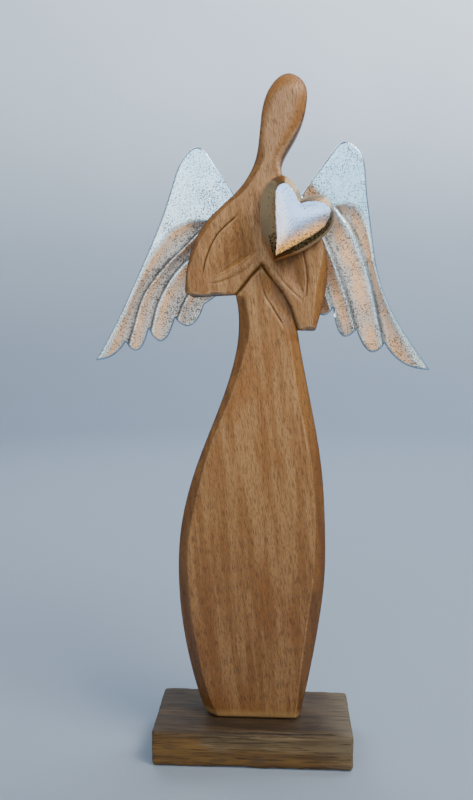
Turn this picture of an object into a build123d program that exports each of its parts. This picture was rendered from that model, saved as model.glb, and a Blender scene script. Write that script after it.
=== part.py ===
from build123d import *

import os

# Carved wooden angel figurine with cast aluminium wings and heart, on a sawn wooden block.
#
# Frame: millimetres, +Z up. The figure faces -Y, and +X is to the right of a viewer in front of it.
# The origin is the centre of the block's underside. Left and right are the viewer's.

# ------------------------------------------------------------------ block
BLOCK_WIDTH = 150.0
BLOCK_DEPTH = 70.0
BLOCK_HEIGHT = 27.5
BLOCK_CORNER = 2.5  # radius of the upright corners
BLOCK_EDGE = 1.5  # chamfer round the top and round the underside

# ------------------------------------------------------------------ carved plank
PLANK_THICKNESS = 26.0
SKIRT_BEVEL = 8.0  # width of the bevel down both sides of the skirt
ARM_BEVEL = 5.0  # width of the bevel round the arms, neck and head
BEVEL_DEPTH = 6.0  # how far back both bevels reach
HEM_RADIUS_LEFT = 9.0
HEM_RADIUS_RIGHT = 5.0
CARVING_DEPTH = 3.5  # carved lines on the arms
CARVING_WIDTH = 5.0

# Skirt from the hem up: rise from the station before, and reach to the left and right of the block's centre
SKIRT = [
    (0.0, 36.0, 35.0),
    (31.0, 45.8, 41.9),
    (39.0, 53.6, 48.7),
    (46.0, 56.7, 53.4),
    (34.0, 54.2, 53.0),
    (46.0, 42.2, 49.6),
    (52.0, 22.2, 40.2),
]
WAIST_RISE = 43.0  # from the skirt's last station to the narrowest point of its left side
WAIST_LEFT = 11.6

# The navel is where both forearms meet the skirt. Everything above the waist is placed from it.
NAVEL_RISE = 50.0  # from the waist
NAVEL_SHIFT = 5.5  # to the right of the block's centre

# Upper body, as (right, up) from the navel
ARMPIT_LEFT = (-18.8, -20.5)
ELBOW_LEFT = (-55.6, -22.5)
ELBOW_LEFT_RADIUS = 5.0
SLEEVE_LEFT = [(-53.8, -2.5), (-50.6, 11.5), (-37.0, 34.5), (-20.0, 50.0)]
NECK_LEFT = (-5.1, 73.5)
CHEEK_LEFT = (-1.0, 104.0)
TEMPLE_LEFT = (5.5, 123.5)
CROWN = (17.5, 132.2)
TEMPLE_RIGHT = (28.0, 126.5)
CHEEK_RIGHT = (30.2, 110.0)
JAW_RIGHT = (21.5, 87.5)
NECK_RIGHT = (13.2, 69.0)
SLEEVE_RIGHT = [(19.5, 52.0), (35.5, 34.0), (44.5, 11.5), (46.5, -5.0), (42.5, -31.0)]
ELBOW_RIGHT = (38.2, -46.5)
ELBOW_RIGHT_RADIUS = 2.0
ARMPIT_RIGHT = (25.5, -45.5)

# Carved lines on the arms, as (right, up) from the navel
CARVED_LINES = [
    [(-12.0, 40.0), (-24.0, 30.0), (-35.5, 13.0), (-42.0, -3.5)],
    [(-1.5, 14.0), (-12.0, 5.5), (-27.0, -2.0), (-42.0, -8.0)],
    [(28.6, 10.5), (31.6, -5.0), (30.4, -18.5)],
    [(16.5, 4.0), (26.6, -16.5)],
    [(12.7, -5.5), (29.7, -24.5)],
]

# ------------------------------------------------------------------ wings
WING_THICKNESS = 5.5
FEATHER_DEPTH = 3.0  # grooves between the feathers
FEATHER_GROOVE = 5.0  # their width at the lower edge
FEATHER_FADE = 1.0  # their width where they run out

# Each wing's outline, as (right, up) from the navel: root, top edge, outer edge, and one list of points
# for each scallop of the lower edge, from the outer tip to the root
WING_LEFT = {
    "root": [(-3.5, 0.0), (-3.5, 26.5)],
    "top": [(-21.0, 52.5), (-41.5, 83.0)],
    "outer": [(-49.5, 86.5), (-58.7, 79.0), (-67.0, 59.5), (-75.5, 35.0), (-90.8, 0.0), (-113.0, -46.0)],
    "tip": (-126.7, -69.5),
    "scallops": [
        [(-118.0, -68.0), (-104.0, -55.5)],
        [(-97.5, -62.0), (-86.2, -45.5)],
        [(-78.2, -55.0), (-66.2, -37.5)],
        [(-58.0, -43.5), (-44.0, -27.5)],
    ],
    "grooves": [
        [(-43.0, 30.5), (-72.0, 3.5), (-91.0, -22.5), (-103.0, -58.5)],
        [(-45.0, 15.5), (-61.0, 2.5), (-78.0, -22.5), (-85.5, -49.0)],
        [(-45.0, -1.5), (-58.0, -22.5), (-66.5, -41.0)],
    ],
}
WING_RIGHT = {
    "root": [(5.5, 0.0), (5.5, 20.0)],
    "top": [(28.0, 52.5), (53.0, 86.0)],
    "outer": [(60.0, 89.5), (68.2, 85.0), (75.0, 60.0), (78.4, 34.5), (83.5, 2.0), (95.0, -30.5), (114.5, -61.0)],
    "tip": (124.6, -75.5),
    "scallops": [
        [(107.9, -72.5), (91.0, -56.0)],
        [(84.4, -62.5), (70.0, -46.0)],
        [(63.6, -51.0), (52.5, -29.5)],
        [(46.5, -35.5), (36.0, -25.0)],
    ],
    "grooves": [
        [(52.0, 45.0), (67.0, 24.5), (84.0, -24.5), (91.5, -59.0)],
        [(41.5, 30.0), (57.0, -5.0), (70.5, -49.0)],
        [(42.5, -5.0), (53.0, -32.5)],
    ],
}
WING_SCREWS_LEFT = [(-14.0, 10.0), (-31.0, 6.0)]
WING_SCREWS_RIGHT = [(17.0, 8.0), (34.5, 3.0)]

# ------------------------------------------------------------------ heart
HEART_RIM = 7.0  # from the plank to the edge of the facets
HEART_FACETS = 9.0  # from there to the face
HEART_TIP = (7.9, 2.7)
HEART_CLEFT = (27.4, 46.2)
HEART_LEFT = [(0.7, 20.0), (-1.4, 37.0), (2.5, 54.5), (13.5, 61.5), (22.5, 56.0)]
HEART_RIGHT = [(34.5, 47.6), (44.5, 46.0), (50.2, 36.0), (46.5, 23.5), (29.0, 10.0)]
FACE_TIP = (9.2, 6.0)
FACE_CLEFT = (25.5, 42.1)
FACE_LEFT = [(10.4, 20.0), (9.6, 37.0), (9.8, 51.5), (15.5, 55.4), (21.0, 50.8)]
FACE_RIGHT = [(34.6, 43.3), (42.5, 41.5), (47.4, 36.0), (42.0, 25.0), (25.5, 14.4)]
HEART_CENTRE = (20.0, 30.0)  # axis of its screw, as (right, up) from the navel

# ------------------------------------------------------------------ fasteners
WING_SCREW = 4.0
WING_SCREW_LENGTH = 20.0
WING_SCREW_HEAD = 8.0
WING_SCREW_HEAD_HEIGHT = 2.8
HEART_SCREW = 5.0
HEART_SCREW_LENGTH = 30.0
HEART_SCREW_HEAD = 9.5
HEART_SCREW_HEAD_HEIGHT = 3.4
WASHER_DIAMETER = 12.0
WASHER_THICKNESS = 1.0
COUNTERBORE_DEPTH = 8.0  # into the plank's back, for the washer and the head of the heart's screw
BLOCK_SCREW = 5.0
BLOCK_SCREW_LENGTH = 55.0
BLOCK_SCREW_HEAD = 10.0
BLOCK_SCREW_SPACING = 36.0
BLOCK_SCREW_RECESS = 0.5  # head below the underside of the block
BORE_CLEARANCE = 0.5  # on the diameter, where a screw or washer passes through freely
TIP_CLEARANCE = 1.0  # between the end of a screw and the end of its hole
DRIVE_SPAN = 0.5  # span of a head's cross recess, as a share of the head
DRIVE_SLOT = 1.0
DRIVE_DEPTH = 1.6

# ------------------------------------------------------------------ derived places
FRONT = -PLANK_THICKNESS / 2
BACK = PLANK_THICKNESS / 2
HEM_Z = BLOCK_HEIGHT
WAIST_Z = HEM_Z + sum(rise for rise, _, _ in SKIRT) + WAIST_RISE
NAVEL_Z = WAIST_Z + NAVEL_RISE
NAVEL = (0.0, 0.0)
WING_BACK = BACK + WING_THICKNESS
HEART_FRONT = FRONT - HEART_RIM - HEART_FACETS
WASHER_SEAT = BACK - COUNTERBORE_DEPTH


def place(point, y=0.0):
    """The position of a point given as (right, up) from the navel."""
    return Vector(NAVEL_SHIFT + point[0], y, NAVEL_Z + point[1])


def places(points):
    return [place(point) for point in points]


def plate(edges, front, back):
    """The solid between two depths whose outline is this closed loop of edges."""
    face = Face(Wire([edge.moved(Location((0, front, 0))) for edge in edges]))
    return extrude(face, amount=back - front, dir=(0, 1, 0))


def edges_at(shape, y):
    """The edges that lie at this depth."""
    return shape.edges().filter_by_position(Axis.Y, y - 0.01, y + 0.01)


def corner_at(shape, point):
    """The edge along Y that passes through this point's place in the outline."""
    along_y = shape.edges().filter_by(Axis.Y)
    return along_y.sort_by(lambda edge: (edge.center().X - point.X) ** 2 + (edge.center().Z - point.Z) ** 2)[0]


def groove(points, start_width, end_width, depth, surface):
    """A V-shaped cutter along a curve, sunk from this depth along +Y and tapering from end to end."""
    path = Spline([Vector(point.X, surface, point.Z) for point in points])
    cover = 1.0
    sections = []
    for t, width in ((0.0, start_width), (1.0, end_width)):
        floor = depth * width / max(start_width, end_width)
        half = width / 2 * (floor + cover) / floor
        section = Plane(origin=path @ t, x_dir=(0, 1, 0), z_dir=path % t)
        corners = [(-cover, half), (floor, 0), (-cover, -half)]
        outline = Polyline(*[section.from_local_coords(corner) for corner in corners], close=True)
        sections.append(Face(Wire(outline.edges())))
    return sweep(sections, path=path, multisection=True)


# ------------------------------------------------------------------ fasteners

def cross_recess(head_diameter):
    span = head_diameter * DRIVE_SPAN
    slot = Box(span, DRIVE_SLOT, DRIVE_DEPTH, align=(Align.CENTER, Align.CENTER, Align.MIN))
    return slot + slot.rotate(Axis.Z, 90)


def turned(profile):
    """The solid of revolution about Z of a profile given as (radius, height)."""
    outline = Polyline(*[(radius, 0, height) for radius, height in profile], close=True)
    return revolve(Face(Wire(outline.edges())), Axis.Z)


def pan_screw(diameter, length, head_diameter, head_height, point_length, point_radius):
    """A screw along +Z with the underside of its rounded head at the origin."""
    body = turned([
        (0, -head_height),
        (head_diameter * 0.28, -head_height * 0.95),
        (head_diameter * 0.45, -head_height * 0.65),
        (head_diameter / 2, -head_height * 0.2),
        (head_diameter / 2, 0),
        (diameter / 2, 0),
        (diameter / 2, length - point_length),
        (point_radius, length),
        (0, length),
    ])
    return body - Location((0, 0, -head_height)) * cross_recess(head_diameter)


def countersunk_screw(diameter, length, head_diameter, point_length, point_radius):
    """A screw along +Z with the flat face of its countersunk head at the origin."""
    body = turned([
        (0, 0),
        (head_diameter / 2, 0),
        (diameter / 2, (head_diameter - diameter) / 2),
        (diameter / 2, length - point_length),
        (point_radius, length),
        (0, length),
    ])
    return body - cross_recess(head_diameter)


def bore(diameter, depth):
    """A round cutter along +Z from the origin."""
    return Cylinder(diameter / 2, depth, align=(Align.CENTER, Align.CENTER, Align.MIN))


def from_behind(point, y):
    """The placement of something that goes in from behind, towards the viewer, at this depth."""
    return Location(place(point, y), (90, 0, 0))


def wing_screw_places():
    names = ["left_inner", "left_outer", "right_inner", "right_outer"]
    return dict(zip(names, WING_SCREWS_LEFT + WING_SCREWS_RIGHT))


def block_screw_places():
    half = BLOCK_SCREW_SPACING / 2
    return {"left": Location((-half, 0, BLOCK_SCREW_RECESS)), "right": Location((half, 0, BLOCK_SCREW_RECESS))}


def make_wing_screw():
    return pan_screw(WING_SCREW, WING_SCREW_LENGTH, WING_SCREW_HEAD, WING_SCREW_HEAD_HEIGHT, 4.0, 0.4)


def make_heart_screw():
    return pan_screw(HEART_SCREW, HEART_SCREW_LENGTH, HEART_SCREW_HEAD, HEART_SCREW_HEAD_HEIGHT, 0.6, 1.9)


def make_block_screw():
    return countersunk_screw(BLOCK_SCREW, BLOCK_SCREW_LENGTH, BLOCK_SCREW_HEAD, 6.0, 0.5)


def make_washer():
    ring = bore(WASHER_DIAMETER, WASHER_THICKNESS) - bore(HEART_SCREW + BORE_CLEARANCE, WASHER_THICKNESS)
    return from_behind(HEART_CENTRE, WASHER_SEAT + WASHER_THICKNESS) * ring


# ------------------------------------------------------------------ block

def make_block():
    block = Box(BLOCK_WIDTH, BLOCK_DEPTH, BLOCK_HEIGHT, align=(Align.CENTER, Align.CENTER, Align.MIN))
    block = fillet(block.edges().filter_by(Axis.Z), BLOCK_CORNER)
    block = chamfer(block.faces().sort_by(Axis.Z)[-1].edges(), BLOCK_EDGE)
    block = chamfer(block.faces().sort_by(Axis.Z)[0].edges(), BLOCK_EDGE)
    countersink = (BLOCK_SCREW_HEAD - BLOCK_SCREW) / 2
    wide = BLOCK_SCREW + BORE_CLEARANCE
    hole = turned([
        (0, -BLOCK_SCREW_RECESS),
        (BLOCK_SCREW_HEAD / 2, -BLOCK_SCREW_RECESS),
        (BLOCK_SCREW_HEAD / 2, 0),
        (wide / 2, countersink - BORE_CLEARANCE / 2),
        (wide / 2, BLOCK_HEIGHT),
        (0, BLOCK_HEIGHT),
    ])
    for location in block_screw_places().values():
        block -= location * hole
    return block


# ------------------------------------------------------------------ carved plank

def bevelled(body, width):
    """A plate with a bevel of this width along the edges of its front."""
    front = body.faces().sort_by(Axis.Y)[0]
    edges = edges_at(body, FRONT).filter_by(lambda edge: edge.center().Z > HEM_Z)
    return chamfer(edges, width, BEVEL_DEPTH, reference=front)


def make_skirt():
    left, right = [], []
    height = HEM_Z
    for rise, left_reach, right_reach in SKIRT:
        height += rise
        left.append(Vector(-left_reach, 0, height))
        right.append(Vector(right_reach, 0, height))
    left += [Vector(-WAIST_LEFT, 0, WAIST_Z), place(ARMPIT_LEFT)]
    right.append(place(ARMPIT_RIGHT))
    edges = [
        Line(left[0], right[0]),
        Spline(right),
        Line(right[-1], place(NAVEL)),
        Line(place(NAVEL), left[-1]),
        Spline(left[::-1]),
    ]
    skirt = bevelled(plate(edges, FRONT, BACK), SKIRT_BEVEL)
    skirt = fillet(corner_at(skirt, left[0]), HEM_RADIUS_LEFT)
    return fillet(corner_at(skirt, right[0]), HEM_RADIUS_RIGHT)


def make_upper_body():
    head = [NECK_LEFT, CHEEK_LEFT, TEMPLE_LEFT, CROWN, TEMPLE_RIGHT, CHEEK_RIGHT, JAW_RIGHT, NECK_RIGHT]
    edges = [
        Line(place(ARMPIT_LEFT), place(ELBOW_LEFT)),
        Spline(places([ELBOW_LEFT] + SLEEVE_LEFT + head + SLEEVE_RIGHT + [ELBOW_RIGHT])),
        Line(place(ELBOW_RIGHT), place(ARMPIT_RIGHT)),
        Line(place(ARMPIT_RIGHT), place(NAVEL)),
        Line(place(NAVEL), place(ARMPIT_LEFT)),
    ]
    body = bevelled(plate(edges, FRONT, BACK), ARM_BEVEL)
    body = fillet(corner_at(body, place(ELBOW_LEFT)), ELBOW_LEFT_RADIUS)
    body = fillet(corner_at(body, place(ELBOW_RIGHT)), ELBOW_RIGHT_RADIUS)
    for line in CARVED_LINES:
        body -= groove(places(line), CARVING_WIDTH, CARVING_WIDTH / 3, CARVING_DEPTH, FRONT)
    return body


def make_figure():
    figure = make_skirt() + make_upper_body()
    for location in block_screw_places().values():
        figure -= location * make_block_screw()
    for point in wing_screw_places().values():
        figure -= from_behind(point, WING_BACK) * bore(WING_SCREW, WING_SCREW_LENGTH + TIP_CLEARANCE)
    figure -= from_behind(HEART_CENTRE, BACK) * bore(HEART_SCREW + BORE_CLEARANCE, PLANK_THICKNESS)
    figure -= from_behind(HEART_CENTRE, BACK) * bore(WASHER_DIAMETER + BORE_CLEARANCE, COUNTERBORE_DEPTH)
    return figure


# ------------------------------------------------------------------ cast pieces

def make_wing(shape, screws):
    straight = places(shape["root"] + shape["top"])
    edges = [Line(start, end) for start, end in zip(straight, straight[1:])]
    edges.append(Spline(places([shape["top"][-1]] + shape["outer"] + [shape["tip"]])))
    last = shape["tip"]
    for lobe, notch in shape["scallops"]:
        edges.append(Spline(places([last, lobe, notch])))
        last = notch
    edges.append(Line(place(last), place(shape["root"][0])))
    wing = plate(edges, BACK, WING_BACK)
    for line in shape["grooves"]:
        wing -= groove(places(line), FEATHER_FADE, FEATHER_GROOVE, FEATHER_DEPTH, BACK)
    for point in screws:
        wing -= from_behind(point, WING_BACK) * bore(WING_SCREW + BORE_CLEARANCE, WING_THICKNESS)
    return wing


def heart_outline(tip, left, cleft, right, y):
    left_side = Spline([place(point, y) for point in [tip] + left + [cleft]])
    right_side = Spline([place(point, y) for point in [cleft] + right + [tip]])
    return Face(Wire([left_side, right_side]))


def make_heart():
    rim_edge = FRONT - HEART_RIM
    outline = heart_outline(HEART_TIP, HEART_LEFT, HEART_CLEFT, HEART_RIGHT, rim_edge)
    face = heart_outline(FACE_TIP, FACE_LEFT, FACE_CLEFT, FACE_RIGHT, HEART_FRONT)
    heart = extrude(outline, amount=HEART_RIM, dir=(0, 1, 0)) + loft([outline, face], ruled=True)
    reach = HEART_SCREW_LENGTH + TIP_CLEARANCE
    return heart - from_behind(HEART_CENTRE, WASHER_SEAT + WASHER_THICKNESS) * bore(HEART_SCREW, reach)


# ------------------------------------------------------------------ assembly

def make_parts():
    parts = {
        "figure": make_figure(),
        "block": make_block(),
        "wing_left": make_wing(WING_LEFT, WING_SCREWS_LEFT),
        "wing_right": make_wing(WING_RIGHT, WING_SCREWS_RIGHT),
        "heart": make_heart(),
        "heart_washer": make_washer(),
        "heart_screw": from_behind(HEART_CENTRE, WASHER_SEAT + WASHER_THICKNESS) * make_heart_screw(),
    }
    for name, point in wing_screw_places().items():
        parts[f"wing_screw_{name}"] = from_behind(point, WING_BACK) * make_wing_screw()
    for name, location in block_screw_places().items():
        parts[f"block_screw_{name}"] = location * make_block_screw()
    return parts


os.makedirs("parts", exist_ok=True)
for name, shape in make_parts().items():
    export_step(shape, f"parts/{name}.step")
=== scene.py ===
# %% [markdown]
# # A carved wooden angel with cast wings
#
# The figurine is made of four kinds of thing: a flat figure sawn and carved from one plank of mango wood,
# the rough block that it stands on, two cast aluminium wings and a cast aluminium heart. Screws hold them
# together. The measured model already says how big each one is and where it goes, so everything here is
# built on it.

import math

import bmesh
import bpy
import numpy as np
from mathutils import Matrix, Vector, noise
from mathutils.geometry import delaunay_2d_cdt


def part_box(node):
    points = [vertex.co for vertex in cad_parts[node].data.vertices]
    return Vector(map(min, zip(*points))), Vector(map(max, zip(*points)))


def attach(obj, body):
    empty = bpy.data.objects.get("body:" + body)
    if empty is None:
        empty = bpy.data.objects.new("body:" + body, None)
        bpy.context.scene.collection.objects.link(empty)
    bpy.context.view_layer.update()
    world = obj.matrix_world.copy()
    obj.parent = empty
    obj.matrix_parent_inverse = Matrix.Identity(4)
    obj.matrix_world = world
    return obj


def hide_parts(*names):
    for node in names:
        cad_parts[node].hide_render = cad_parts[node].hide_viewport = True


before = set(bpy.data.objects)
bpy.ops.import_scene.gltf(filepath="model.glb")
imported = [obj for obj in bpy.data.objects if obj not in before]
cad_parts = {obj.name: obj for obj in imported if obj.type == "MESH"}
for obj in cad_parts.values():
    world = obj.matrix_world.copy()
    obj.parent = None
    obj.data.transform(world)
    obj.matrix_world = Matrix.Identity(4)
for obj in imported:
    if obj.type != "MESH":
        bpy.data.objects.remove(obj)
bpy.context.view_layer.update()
MM = 0.001

# %% [markdown]
# ## Where the viewer stands
#
# The figurine is seen from the height of its shoulders, a little over half a metre away, with the camera
# tipped slightly down. A camera's place decides the perspective, and its lens only decides how much it
# takes in, so the place is set first.

# %% Camera
CAMERA_PLACE = (18.0, -586.7, 347.3)  # mm
TIPPED_DOWN, TURNED_LEFT = 7.39, 3.05  # degrees

camera = bpy.data.objects.new("camera", bpy.data.cameras.new("camera"))
bpy.context.collection.objects.link(camera)
camera.data.sensor_width = 36.0
camera.data.lens = 36.0
camera.location = Vector(CAMERA_PLACE) * MM
camera.rotation_euler = (math.radians(90 - TIPPED_DOWN), 0, math.radians(TURNED_LEFT))
bpy.context.scene.camera = camera
print("camera", [round(value, 3) for value in camera.location])

# %% [markdown]
# ## The studio
#
# Polished metal shows its surroundings more than its own colour, so the set matters as much as the lamps. A
# round sweep of pale paper, floor and wall in one, gives the castings something soft to reflect from every
# side, and leaves no horizon line. It is a surface of revolution, which needs only its profile.

# %% Paper sweep
FLOOR_RADIUS, BEND, WALL_HEIGHT = 1.5, 0.5, 2.6  # metres


def mesh_piece(name, vertices, faces):
    """A new object at the origin, with its points in metres."""
    mesh = bpy.data.meshes.new(name)
    mesh.from_pydata([tuple(v) for v in vertices], [], [tuple(f) for f in faces])
    mesh.update()
    piece = bpy.data.objects.new(name, mesh)
    bpy.context.collection.objects.link(piece)
    return piece


def paper_profile():
    """(radius, height) of the sweep from its centre outwards, in metres."""
    turns = np.linspace(0, math.pi / 2, 12)
    bend = [(FLOOR_RADIUS + BEND * math.sin(a), BEND - BEND * math.cos(a)) for a in turns]
    return [(0.02, 0.0), (0.5, 0.0)] + bend + [(FLOOR_RADIUS + BEND, WALL_HEIGHT)]


def turned_sheet(name, profile, sides):
    """A surface of revolution round the Z axis, closed at its centre."""
    vertices = []
    for radius, height in profile:
        for k in range(sides):
            angle = 2 * math.pi * k / sides
            vertices.append((radius * math.cos(angle), radius * math.sin(angle), height))
    faces = [list(range(sides))]
    for row in range(len(profile) - 1):
        for k in range(sides):
            a, b = row * sides + k, row * sides + (k + 1) % sides
            faces.append((a, a + sides, b + sides, b))
    return mesh_piece(name, vertices, faces)


sweep = turned_sheet("paper_sweep", paper_profile(), 96)
sweep.data.shade_smooth()
print("paper sweep", len(sweep.data.polygons), "faces")

# %% [markdown]
# The light is plain. A wide, cool panel in front stands for the open sky, and a smaller, warmer lamp high
# on the right models the carving. Two weak warm ones, a card on the left and a low strip in front, stand
# for the light that comes back from a room and a table top, and the metal shows them. Two more light the
# wall and the back.

# %% Lamps
CHEST = (0.01, 0.0, 0.38)


def softbox(name, place, aim, width, height, watts, colour):
    """A soft rectangular lamp that the camera doesn't see; places and sizes in metres."""
    lamp = bpy.data.lights.new(name, "AREA")
    lamp.shape = "RECTANGLE"
    lamp.size, lamp.size_y = width, height
    lamp.energy = watts
    lamp.color = colour
    made = bpy.data.objects.new(name, lamp)
    bpy.context.collection.objects.link(made)
    made.location = place
    made.rotation_euler = (Vector(aim) - Vector(place)).to_track_quat("-Z", "Y").to_euler()
    made.visible_camera = False


softbox("sky_panel", (0.10, -1.45, 0.90), (0.0, 0.0, 0.50), 1.7, 0.85, 10.5, (0.68, 0.86, 1.0))
softbox("key", (0.60, -0.42, 1.15), CHEST, 0.5, 0.5, 16.0, (1.0, 0.92, 0.78))
softbox("card", (-0.47, -1.00, 0.42), CHEST, 0.7, 0.45, 2.0, (1.0, 0.72, 0.48))
softbox("table_glow", (0.22, -0.90, 0.17), CHEST, 0.6, 0.15, 0.80, (1.0, 0.72, 0.44))
softbox("wall_wash", (0.75, 0.55, 2.05), (0.60, 2.0, 1.35), 1.2, 0.4, 56.0, (0.90, 0.96, 1.0))
softbox("back", (-0.60, 0.95, 1.25), CHEST, 0.7, 0.7, 9.0, (0.95, 0.97, 1.0))

world = bpy.data.worlds.new("studio air")
world.use_nodes = True
air = world.node_tree.nodes["Background"].inputs
air["Color"].default_value = (0.66, 0.74, 0.86, 1.0)
air["Strength"].default_value = 0.25
bpy.context.scene.world = world

# %% [markdown]
# ## Working in the plane of the plank
#
# The figure, the wings and the heart are all carved from the front, so each is an outline with a depth at
# every point inside it. Drawing them in millimetres, as (right, up) from the navel, where both forearms
# meet the skirt, keeps the numbers the size that a carver would mark on the plank.

# %% Marking out
BLOCK_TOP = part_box("block")[1][2] / MM
NAVEL = np.array([5.5, BLOCK_TOP + 341.0])


def marks(points):
    """Points given from the navel, as places in the plane of the plank, in mm."""
    return np.array(points, float) + NAVEL


def curve(points, step=1.0):
    """A smooth line through these places, as points about a step apart."""
    p = np.array(points, float)
    p = np.vstack([2 * p[0] - p[1], p, 2 * p[-1] - p[-2]])
    line = []
    for a, b, c, d in zip(p, p[1:], p[2:], p[3:]):
        count = max(1, round(np.linalg.norm(c - b) / step))
        t = np.arange(count)[:, None] / count
        cubic = 2 * b + (c - a) * t + (2 * a - 5 * b + 4 * c - d) * t**2 + (3 * b - a - 3 * c + d) * t**3
        line.append(cubic / 2)
    return np.vstack(line + [p[-2:-1]])


def corners(node):
    """The two corners of a measured piece's box, in mm."""
    return [np.array(corner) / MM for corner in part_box(node)]


print("navel at", NAVEL)

# %% [markdown]
# Three questions come up for every point of a carving: how far is it from a line and on which side, is it
# inside a loop, and how far is it through a gradual change. NumPy answers each for all the points at once.

# %% Measuring from a line
AT_ONCE = 2000  # points measured together, to keep the tables small


def nearest(points, line):
    """For each point: its distance from the line, +1 or -1 for its side, and 0 to 1 for how far along."""
    start, step = line[:-1], np.diff(line, axis=0)
    length2 = (step**2).sum(1) + 1e-12
    distance, side, along = np.zeros(len(points)), np.zeros(len(points)), np.zeros(len(points))
    for rows in np.array_split(np.arange(len(points)), len(points) // AT_ONCE + 1):
        reach = points[rows][:, None] - start
        t = np.clip((reach * step).sum(2) / length2, 0, 1)
        gap2 = ((reach - t[..., None] * step) ** 2).sum(2)
        k = gap2.argmin(1)
        here = np.arange(len(rows)), k
        distance[rows] = np.sqrt(gap2[here])
        side[rows] = np.sign(step[k, 0] * reach[here][:, 1] - step[k, 1] * reach[here][:, 0])
        along[rows] = (k + t[here]) / len(step)
    return distance, side, along


def closed(loop):
    """A loop as a line that ends where it starts."""
    return np.vstack([loop, loop[:1]])


def inside(points, loop):
    """Which points lie inside a loop."""
    x, z = points.T
    odd = np.zeros(len(points), bool)
    for (x0, z0), (x1, z1) in zip(loop, np.roll(loop, -1, axis=0)):
        if z0 != z1:
            odd ^= ((z0 > z) != (z1 > z)) & (x < (x1 - x0) * (z - z0) / (z1 - z0) + x0)
    return odd


def ease(low, high, value):
    """A smooth step from 0 to 1 as value goes from low to high."""
    t = np.clip((value - low) / (high - low), 0, 1)
    return t * t * (3 - 2 * t)


def spread(line, spacing):
    """Points evenly spaced along a line, without its last one."""
    travelled = np.append(0, np.cumsum(np.linalg.norm(np.diff(line, axis=0), axis=1)))
    at = np.linspace(0, travelled[-1], max(1, round(travelled[-1] / spacing)) + 1)[:-1]
    return np.column_stack([np.interp(at, travelled, line[:, k]) for k in (0, 1)])


print("halfway through a change:", ease(0, 1, 0.5))

# %% [markdown]
# ## One way to carve a plank and two castings
#
# The outline comes straight from the measured model: a plane cuts a copy of the piece, and the cut is
# walked round to give closed lines, of which the longest is the outline.

# %% Outline of a measured piece
CORNER = 35  # degrees of turn that make a corner, which keeps its place


def loops_of(edges):
    """The closed lines that these edges make, in mm in the plane of the plank."""
    beside = {}
    for edge in edges:
        a, b = edge.verts
        beside.setdefault(a, []).append(b)
        beside.setdefault(b, []).append(a)
    loops = []
    while beside:
        here = next(iter(beside))
        loop = []
        while here is not None:
            loop.append((here.co.x / MM, here.co.z / MM))
            onward = beside.pop(here)
            here = next((other for other in onward if other in beside), None)
        loops.append(np.array(loop))
    return loops


def outline_of(node, y, spacing):
    """The longest loop where a plane at this depth cuts a piece, anticlockwise and evenly spaced, in mm."""
    solid = bmesh.new()
    solid.from_mesh(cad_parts[node].data)
    bmesh.ops.remove_doubles(solid, verts=solid.verts, dist=1e-6)
    everything = solid.verts[:] + solid.edges[:] + solid.faces[:]
    cut = bmesh.ops.bisect_plane(solid, geom=everything, plane_co=(0, y * MM, 0), plane_no=(0, 1, 0))
    loops = loops_of([part for part in cut["geom_cut"] if isinstance(part, bmesh.types.BMEdge)])
    solid.free()
    loop = max(loops, key=lambda line: np.linalg.norm(np.diff(line, axis=0), axis=1).sum())
    loop = loop[np.linalg.norm(loop - np.roll(loop, 1, axis=0), axis=1) > 1e-3]
    x, z = loop.T
    if (x * np.roll(z, -1) - np.roll(x, -1) * z).sum() < 0:
        loop = loop[::-1]
    before, after = loop - np.roll(loop, 1, axis=0), np.roll(loop, -1, axis=0) - loop
    across = before[:, 0] * after[:, 1] - before[:, 1] * after[:, 0]
    turn = np.degrees(np.arctan2(across, (before * after).sum(1)))
    corners = np.flatnonzero(np.abs(turn) > CORNER)
    corners = corners if len(corners) else np.array([0])
    ends = np.append(corners[1:], corners[0] + len(loop))
    return np.vstack([spread(loop[np.arange(a, b + 1) % len(loop)], spacing) for a, b in zip(corners, ends)])


print("outline of the figure:", len(outline_of("figure", 5.0, 1.1)), "points")

# %% [markdown]
# Inside the outline go evenly spaced points. Points are also laid along every line that the carver cuts, so
# that an edge in the carving has an edge of the mesh under it and comes out crisp. A constrained
# triangulation joins them all without crossing the outline.

# %% Filling an outline
ROW = 0.866  # rows of a triangular grid are this share of its spacing apart


def offset(line, distance):
    """The same line moved sideways."""
    along = np.gradient(line, axis=0)
    normal = np.column_stack([-along[:, 1], along[:, 0]])
    return line + distance * normal / np.linalg.norm(normal, axis=1)[:, None]


def inward(outline):
    """The direction into the piece at each point of its outline."""
    along = np.roll(outline, -1, axis=0) - np.roll(outline, 1, axis=0)
    normal = np.column_stack([-along[:, 1], along[:, 0]])
    return normal / np.linalg.norm(normal, axis=1)[:, None]


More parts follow.
